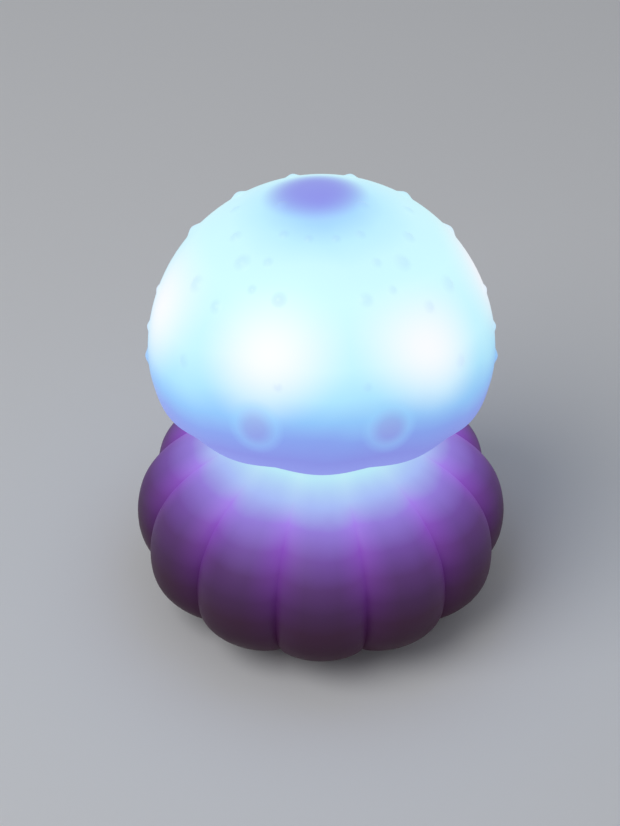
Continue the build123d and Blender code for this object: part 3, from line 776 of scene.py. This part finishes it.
# height and radius, from the middle of the dish out to the edge and up to the stem
BUTTON_OUTLINE = (
    (1.45, 0.7),
    (1.42, 1.4),
    (1.3, 2.2),
    (1.12, 3.0),
    (1.0, 3.6),
    (1.04, 3.95),
    (1.2, 4.25),
    (1.5, 4.4),
    (3.3, 4.4),
    (3.3, 3.5),
    (4.7, 3.5),
    (4.7, 4.4),
    (6.3, 4.4),
    (6.3, 5.9),
    (7.3, 5.9),
    (7.3, 1.6),
    (9.9, 1.6),
)
button = lathe("button_cap", BUTTON_OUTLINE, BUTTON_SIDES, "capped")
bpy.ops.object.mode_set(mode="EDIT")
bpy.ops.mesh.select_all(action="SELECT")
bpy.ops.transform.translate(value=(0, BUTTON_Y * MM, 0))
bpy.ops.object.mode_set(mode="OBJECT")
soften(button, BUTTON_ROUND)
finish_mesh(button, 30)

# Soft-touch TPE: a dusty pink that hardly shines and shows no edge sharply
button_tpe = moulded("soft_touch_tpe", "#B5527F", "#C25E8B", 0.58, 0.7, 0.04)
dress(button, button_tpe)
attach(button, "button")
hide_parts("push_button")

# ---------------------------------------------------------------- button spring
# The spring is four turns of nickel-plated steel wire, wound on a mandrel, between the button's collar and
# the foot of the switch. It shortens as the button goes in.
SPRING_R = 2.8
SPRING_WIRE = 0.24
SPRING_FOOT = 7.6
SPRING_HEAD = 11.5
SPRING_TURNS = 4
SPRING_STEPS = 20
bpy.ops.object.select_all(action="DESELECT")
bpy.ops.mesh.primitive_circle_add(
    vertices=10,
    radius=SPRING_WIRE * MM,
    fill_type="NGON",
    location=(SPRING_R * MM, BUTTON_Y * MM, SPRING_FOOT * MM),
    rotation=(pi / 2, 0, 0),
)
spring = bpy.context.object
spring.name = spring.data.name = "button_coil"
bpy.ops.object.transform_apply(location=True, rotation=True)
bpy.ops.object.mode_set(mode="EDIT")
bpy.ops.mesh.select_mode(type="FACE")
bpy.ops.mesh.select_all(action="SELECT")
rise = (SPRING_HEAD - SPRING_FOOT) / (SPRING_TURNS * SPRING_STEPS)
for step in range(SPRING_TURNS * SPRING_STEPS):
    bpy.ops.mesh.extrude_region_move(TRANSFORM_OT_translate={"value": (0, 0, rise * MM)})
    bpy.ops.transform.rotate(
        value=2 * pi / SPRING_STEPS, orient_axis="Z", center_override=(0, BUTTON_Y * MM, 0)
    )
bpy.ops.mesh.select_all(action="SELECT")
bpy.ops.mesh.normals_make_consistent(inside=False)
bpy.ops.object.mode_set(mode="OBJECT")
finish_mesh(spring, 50)


def metal(name, low, high, roughness, marks_mm):
    """Bare or plated metal: its tint drifts along the marks of its making."""
    material, shader, place = new_material(name, Metallic=1.0)
    stretch = node(
        material, "Mapping", {"Vector": place, "Scale": [1 / (length * MM) for length in marks_mm]}
    )
    marks = node(material, "TexNoise", {"Vector": stretch.outputs[0], "Scale": 1.0, "Detail": 4.0})
    shades = node(
        material, "Mix", {0: marks.outputs[0], 6: linear(low), 7: linear(high)}, data_type="RGBA"
    )
    plug(material, shader.inputs["Base Color"], shades.outputs[2])
    rough = node(
        material,
        "MapRange",
        {
            "Value": marks.outputs[0],
            1: NOISE_LOW,
            2: NOISE_HIGH,
            3: roughness - 0.05,
            4: roughness + 0.08,
        },
    )
    plug(material, shader.inputs["Roughness"], rough.outputs[0])
    return material


# Nickel plate over steel or brass: bright, a little warm and even all over
nickel = metal("nickel_plate", "#B9B4A8", "#CFCABF", 0.2, (3.333, 3.333, 3.333))
dress(spring, nickel)
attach(spring, "light")
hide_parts("button_spring")
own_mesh(spring)

# ---------------------------------------------------------------- plate, core, seals and screws
# Everything else is the light's core and what closes it: moulded, turned, pressed or bought in, and held
# by screws, clips and solder. These shapes are right as they are, so each piece only gets its surface.

# Injection-moulded ABS: a clean off-white with the same dull grain as the door
white_abs = moulded("moulded_white_abs", "#C9C7C1", "#D6D4CE", 0.5, 0.9, 0.05)
# Pressed silicone: chalky and soft, with hardly a shine
silicone = moulded("pressed_silicone", "#B4B2AC", "#C2C0BA", 0.62, 1.5, 0.02)
# Epoxy moulded over a chip: nearly black and matt
chip_epoxy = moulded("chip_epoxy", "#17181A", "#202124", 0.6, 0.4, 0.02)
# Ferrite powder, pressed and fired: dark, dry and a little rough
ferrite = moulded("pressed_ferrite", "#26272A", "#323337", 0.7, 0.5, 0.05)
# Green solder mask on a glass-epoxy board: smooth, with a low gloss
solder_mask = moulded("green_solder_mask", "#0C3B22", "#11482B", 0.35, 2.0, 0.01)
# White solder mask on the LED boards: bright and smooth, to send the light out
white_mask = moulded("white_solder_mask", "#D9DBD6", "#E4E6E1", 0.38, 2.0, 0.01)
# PVC drawn over wire: a strong red with a satin shine
wire_pvc = moulded("red_wire_pvc", "#7A1414", "#8A1A18", 0.4, 1.2, 0.01)
# Film shrunk tight on a cell: plain dark blue and glossy, with no print
cell_sleeve = moulded("shrunk_cell_sleeve", "#1B3A66", "#214474", 0.28, 3.0, 0.01)
# Cast iron, painted: the rough cast skin shows through a dull dark coat
ballast_paint = moulded("painted_cast_iron", "#2A2B2D", "#3A3B3D", 0.55, 1.1, 0.15)
# Stainless steel, turned: bright, its marks drawn out upwards
stainless = metal("turned_stainless", "#A9A8A4", "#C4C3BF", 0.28, (1.111, 1.111, 8.333))
# Aluminium, drawn and anodised: pale satin, its marks drawn out upwards
anodised = metal("anodised_aluminium", "#B4B7BA", "#C9CCCF", 0.38, (2.0, 2.0, 16.67))
# Brass, drawn: warm yellow and softly bright
brass = metal("drawn_brass", "#B08A45", "#C9A35A", 0.3, (2.5, 2.5, 2.5))

# Clear silicone over an LED: when lit it burns out to nearly white
LENS_GRAIN_MM = 2.5
led_lens, shader, place = new_material("clear_silicone_lens", Roughness=0.2, IOR=1.41)
crystal = node(led_lens, "TexNoise", {"Vector": place, "Scale": 1 / (LENS_GRAIN_MM * MM), "Detail": 1.0})
burn = node(
    led_lens, "Mix", {0: crystal.outputs[0], 6: linear("#E6FCFF"), 7: linear("#FFFFFF")}, data_type="RGBA"
)
plug(led_lens, shader.inputs["Base Color"], burn.outputs[2])
plug(led_lens, shader.inputs["Emission Color"], burn.outputs[2])
shader.inputs["Emission Strength"].default_value = 2.0

# The neck's gasket is clear enough to pass the bell's light on.
lit_silicone = moulded("lit_silicone", "#B4B2AC", "#C2C0BA", 0.62, 1.5, 0.02)
shader = lit_silicone.node_tree.nodes["Principled BSDF"]
shader.inputs["Emission Color"].default_value = linear("#A9E4F6")
shader.inputs["Emission Strength"].default_value = 0.6

finishes = {
    "neck_gasket": lit_silicone,
    "neck_nut": white_abs,
    "service_plate": white_abs,
    "plate_gasket": silicone,
    "plate_screws": stainless,
    "door_seal": silicone,
    "cell_holder": grey_abs,
    "cells": cell_sleeve,
    "cell_contacts": nickel,
    "cell_springs": nickel,
    "pack_terminals": nickel,
    "well_contacts": nickel,
    "ballast": ballast_paint,
    "driver_board": solder_mask,
    "board_screws": stainless,
    "control_chips": chip_epoxy,
    "inductor": ferrite,
    "capacitor": anodised,
    "button_ring": silicone,
    "switch_body": chip_epoxy,
    "switch_plunger": grey_abs,
    "column": white_abs,
    "column_screws": stainless,
    "led_carrier": anodised,
    "led_boards": white_mask,
    "leds": led_lens,
    "junction_board": solder_mask,
    "feed_pins": brass,
    "crown_cap": grey_abs,
    "crown_screw": stainless,
    "battery_leads": wire_pvc,
    "crown_leads": wire_pvc,
}
for name, finish in finishes.items():
    dress(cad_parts[name], finish)

# ---------------------------------------------------------------- floor, light and camera
# A plain pale floor, a soft grey room and one wide soft lamp, kept low so that the light's own glow shows.
# The camera stands in front and looks down on the light.
GROUND_SIZE = 60.0
ROOM_STRENGTH = 0.34
LAMP_PLACE = (-0.9, -0.7, 1.5)
LAMP_AIM = Vector((0, 0, 0.1))
LAMP_WIDTH = 1.4
LAMP_POWER = 12.0
bpy.ops.object.select_all(action="DESELECT")
bpy.ops.mesh.primitive_plane_add(size=GROUND_SIZE, location=(0, 0, 0))
ground = bpy.context.object
ground.name = "ground"
pale, shader, place = new_material("pale_matt_floor", Roughness=0.85, Base_Color=linear("#ECECEC"))
dress(ground, pale)

world = bpy.data.worlds.new("room")
bpy.context.scene.world = world
world.use_nodes = True
world.node_tree.nodes["Background"].inputs["Color"].default_value = linear("#E8ECF4")
world.node_tree.nodes["Background"].inputs["Strength"].default_value = ROOM_STRENGTH

bpy.ops.object.light_add(type="AREA", location=LAMP_PLACE)
lamp = bpy.context.object
lamp.data.shape = "DISK"
lamp.data.size = LAMP_WIDTH
lamp.data.energy = LAMP_POWER
lamp.rotation_euler = (LAMP_AIM - lamp.location).to_track_quat("-Z", "Y").to_euler()

VIEW_HEIGHT = 0.0887
VIEW_SIDE = -0.0047
VIEW_TILT = 38.45
VIEW_DISTANCE = 0.85
VIEW_LENS = 87.9
bpy.ops.object.camera_add(
    location=(
        VIEW_SIDE,
        -VIEW_DISTANCE * cos(radians(VIEW_TILT)),
        VIEW_HEIGHT + VIEW_DISTANCE * sin(radians(VIEW_TILT)),
    ),
    rotation=(radians(90 - VIEW_TILT), 0, 0),
)
camera = bpy.context.object
camera.data.lens = VIEW_LENS
camera.data.sensor_width = 36.0
bpy.context.scene.camera = camera
bpy.context.scene.view_settings.view_transform = "Standard"
